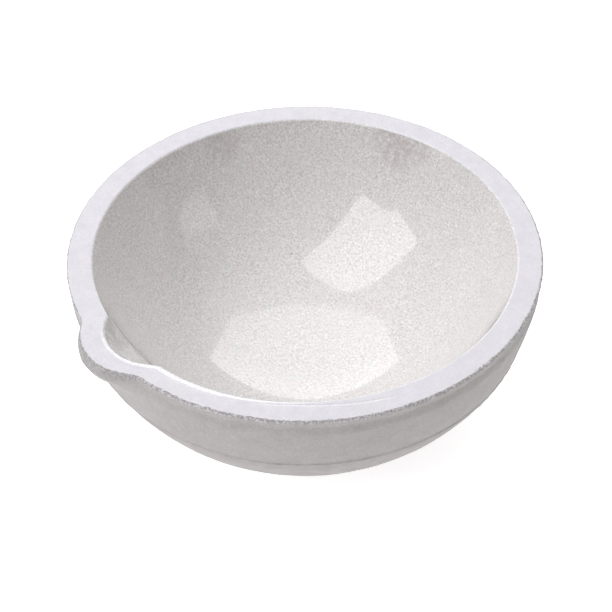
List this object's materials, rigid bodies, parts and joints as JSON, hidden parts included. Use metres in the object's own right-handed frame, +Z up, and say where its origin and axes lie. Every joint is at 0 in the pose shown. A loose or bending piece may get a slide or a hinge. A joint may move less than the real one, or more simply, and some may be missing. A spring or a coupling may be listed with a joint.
{
  "type": "melting dish",
  "caption": "Round thick-walled white fused-silica dish with a flat ground rim, a small pouring lip, a glassy speckled bowl and a sandy outside.",
  "frame": {"origin": "centre of the flat base, on the axis of the bowl", "axes": "+Z up along the axis of the bowl, -Y towards the pouring lip, +X across the lip"},
  "size_m": [0.1004, 0.105, 0.038],
  "materials": {
    "opaque_silica": "satin",
    "glassy_lining": "gloss",
    "sintered_sand": "matte"
  },
  "bodies": {
    "root": {"silica_body": "opaque_silica", "inner_glaze": "glassy_lining", "sand_skin": "sintered_sand"}
  },
  "joints": []
}
